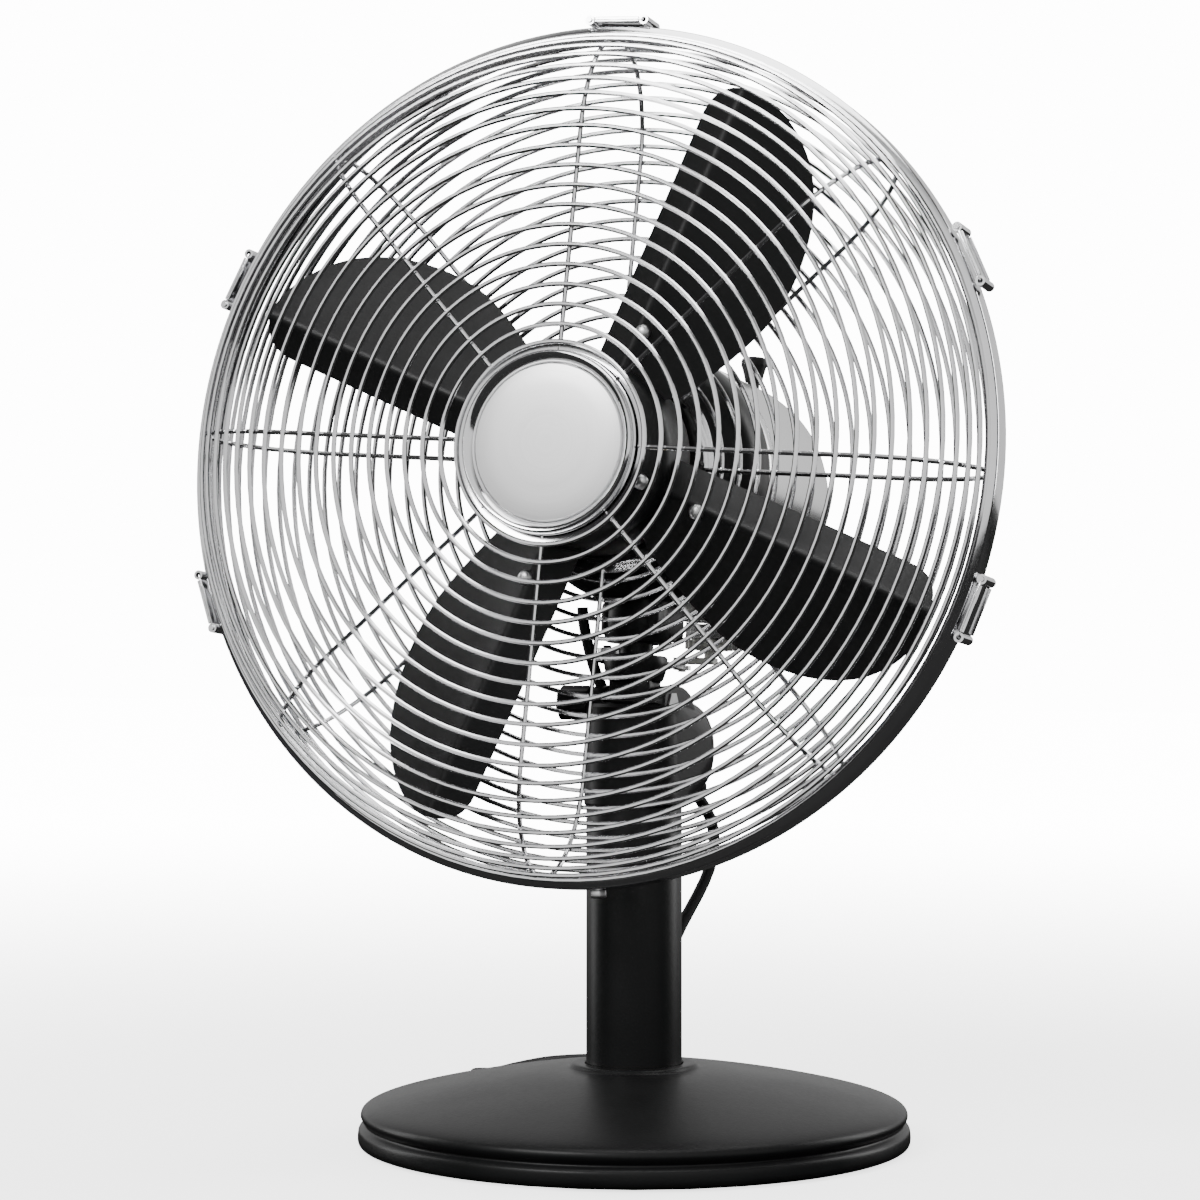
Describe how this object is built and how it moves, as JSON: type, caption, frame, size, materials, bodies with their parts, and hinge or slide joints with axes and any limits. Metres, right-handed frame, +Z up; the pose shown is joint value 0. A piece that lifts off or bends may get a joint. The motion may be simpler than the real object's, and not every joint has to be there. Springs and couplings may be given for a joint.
{
  "type": "desk fan",
  "caption": "Desk fan with a round weighted base, short pole, tilting and swinging motor head, pitched metal blades and a clipped wire cage.",
  "frame": {"origin": "centre of the rest face under the base, on the pole axis", "axes": "+Z up along the pole, -Y forwards, the way the fan blows, +X to the right seen from the front"},
  "size_m": [0.398, 0.3358, 0.5294],
  "materials": {
    "satin_black": "satin black enamel",
    "chrome": "bright plating",
    "silver": "fine satin",
    "steel": "zinc plated",
    "black_plastic": "matt",
    "rubber": "matt",
    "copper": "lacquered copper wire",
    "brass": "machined",
    "white_nylon": "moulded, slightly waxy",
    "iron": "laminated or cast, dark"
  },
  "bodies": {
    "stand": {"base_shell": "satin_black", "base_pad": "rubber", "bottom_plate": "steel", "base_weight": "iron", "pole_tube": "satin_black", "pole_flange": "iron", "pole_bolt": "steel", "control_box": "satin_black", "tilt_fork": "satin_black", "speed_switch": "black_plastic", "tilt_bolt": "steel", "strain_relief": "rubber", "cord": "rubber", "cord_coil": "rubber", "plug": "rubber"},
    "tilt_knob": {"tilt_knob": "black_plastic"},
    "speed_knob": {"speed_knob": "black_plastic"},
    "neck": {"neck": "satin_black", "motor_lead": "rubber"},
    "head": {"swivel_deck": "satin_black", "gear_bracket": "silver", "motor_front_shell": "satin_black", "motor_rear_shell": "silver", "stator_core": "iron", "stator_ring": "steel", "front_winding": "copper", "rear_winding": "copper", "front_bearing": "brass", "rear_bearing": "brass", "rear_frame": "steel", "grille_plate": "satin_black", "grille_nut": "black_plastic", "front_grille": "chrome", "rear_grille": "chrome", "hoop": "chrome", "hoop_nut": "steel", "badge": "silver", "badge_bezel": "chrome"},
    "rotor": {"rotor_shaft": "steel", "rotor_core": "iron", "blade_hub": "satin_black", "spinner_nut": "black_plastic", "blade_1": "satin_black", "blade_2": "satin_black", "blade_3": "satin_black", "blade_4": "satin_black"},
    "worm_wheel": {"worm_wheel": "white_nylon"},
    "crank": {"crank_gear": "white_nylon"},
    "swing_link": {"swing_link": "steel"},
    "clutch": {"clutch_pinion": "steel"},
    "swing_knob": {"swing_knob": "black_plastic"},
    "clip_1": {"clip_1": "chrome"},
    "clip_2": {"clip_2": "chrome"},
    "clip_3": {"clip_3": "chrome"},
    "clip_4": {"clip_4": "chrome"},
    "clip_5": {"clip_5": "chrome"}
  },
  "joints": [
    {"name": "tilt", "type": "hinge", "parent": "stand", "child": "neck", "pos_m": [0, 0, 0.209], "axis": [1, 0, 0], "range_deg": [-15, 10]},
    {"name": "swing", "type": "hinge", "parent": "neck", "child": "head", "pos_m": [0, 0, 0.209], "axis": [0, 0.1045, 0.9945], "range_deg": [-35, 35]},
    {"name": "blade_spin", "type": "hinge", "parent": "head", "child": "rotor", "pos_m": [0, -0.0622, 0.32514], "axis": [0, -0.9945, 0.1045], "continuous": true},
    {"name": "worm_wheel_spin", "type": "hinge", "parent": "head", "child": "worm_wheel", "pos_m": [0.018, 0.10886, 0.30716], "axis": [0, 0.1045, 0.9945], "continuous": true},
    {"name": "crank_turn", "type": "hinge", "parent": "head", "child": "crank", "pos_m": [0, 0.10133, 0.23555], "axis": [0, 0.1045, 0.9945], "range_deg": [-36, 36]},
    {"name": "link_turn", "type": "hinge", "parent": "crank", "child": "swing_link", "pos_m": [-0.015, 0.10013, 0.22412], "axis": [0, 0.1045, 0.9945], "range_deg": [-36, 36]},
    {"name": "clutch_turn", "type": "hinge", "parent": "head", "child": "clutch", "pos_m": [0.018, 0.10133, 0.23555], "axis": [0, 0.1045, 0.9945], "range_deg": [-72, 72]},
    {"name": "swing_knob_pull", "type": "slide", "parent": "head", "child": "swing_knob", "axis": [0, 0.1045, 0.9945], "range_m": [0, 0.005]},
    {"name": "tilt_knob_turn", "type": "hinge", "parent": "stand", "child": "tilt_knob", "pos_m": [0, 0, 0.209], "axis": [1, 0, 0], "range_deg": [-90, 90]},
    {"name": "speed_knob_turn", "type": "hinge", "parent": "stand", "child": "speed_knob", "pos_m": [0, 0.0658, 0.1863], "axis": [0, 1, 0], "range_deg": [0, 135]},
    {"name": "clip_1_open", "type": "hinge", "parent": "head", "child": "clip_1", "pos_m": [-0.00221, -0.04105, 0.52637], "axis": [0, -0.9945, 0.1045], "range_deg": [0, 105]},
    {"name": "clip_2_open", "type": "hinge", "parent": "head", "child": "clip_2", "pos_m": [0.17762, -0.05207, 0.42155], "axis": [0, -0.9945, 0.1045], "range_deg": [0, 105]},
    {"name": "clip_3_open", "type": "hinge", "parent": "head", "child": "clip_3", "pos_m": [0.19364, -0.06834, 0.26672], "axis": [0, -0.9945, 0.1045], "range_deg": [0, 105]},
    {"name": "clip_4_open", "type": "hinge", "parent": "head", "child": "clip_4", "pos_m": [-0.18778, -0.05432, 0.40012], "axis": [0, -0.9945, 0.1045], "range_deg": [0, 105]},
    {"name": "clip_5_open", "type": "hinge", "parent": "head", "child": "clip_5", "pos_m": [-0.18539, -0.07068, 0.24449], "axis": [0, -0.9945, 0.1045], "range_deg": [0, 105]}
  ],
  "couplings": [
    {"joint": "worm_wheel_spin", "follows": "blade_spin", "ratio": -0.035714},
    {"joint": "crank_turn", "follows": "swing", "ratio": -1},
    {"joint": "link_turn", "follows": "swing", "ratio": 1},
    {"joint": "clutch_turn", "follows": "swing", "ratio": 2}
  ]
}
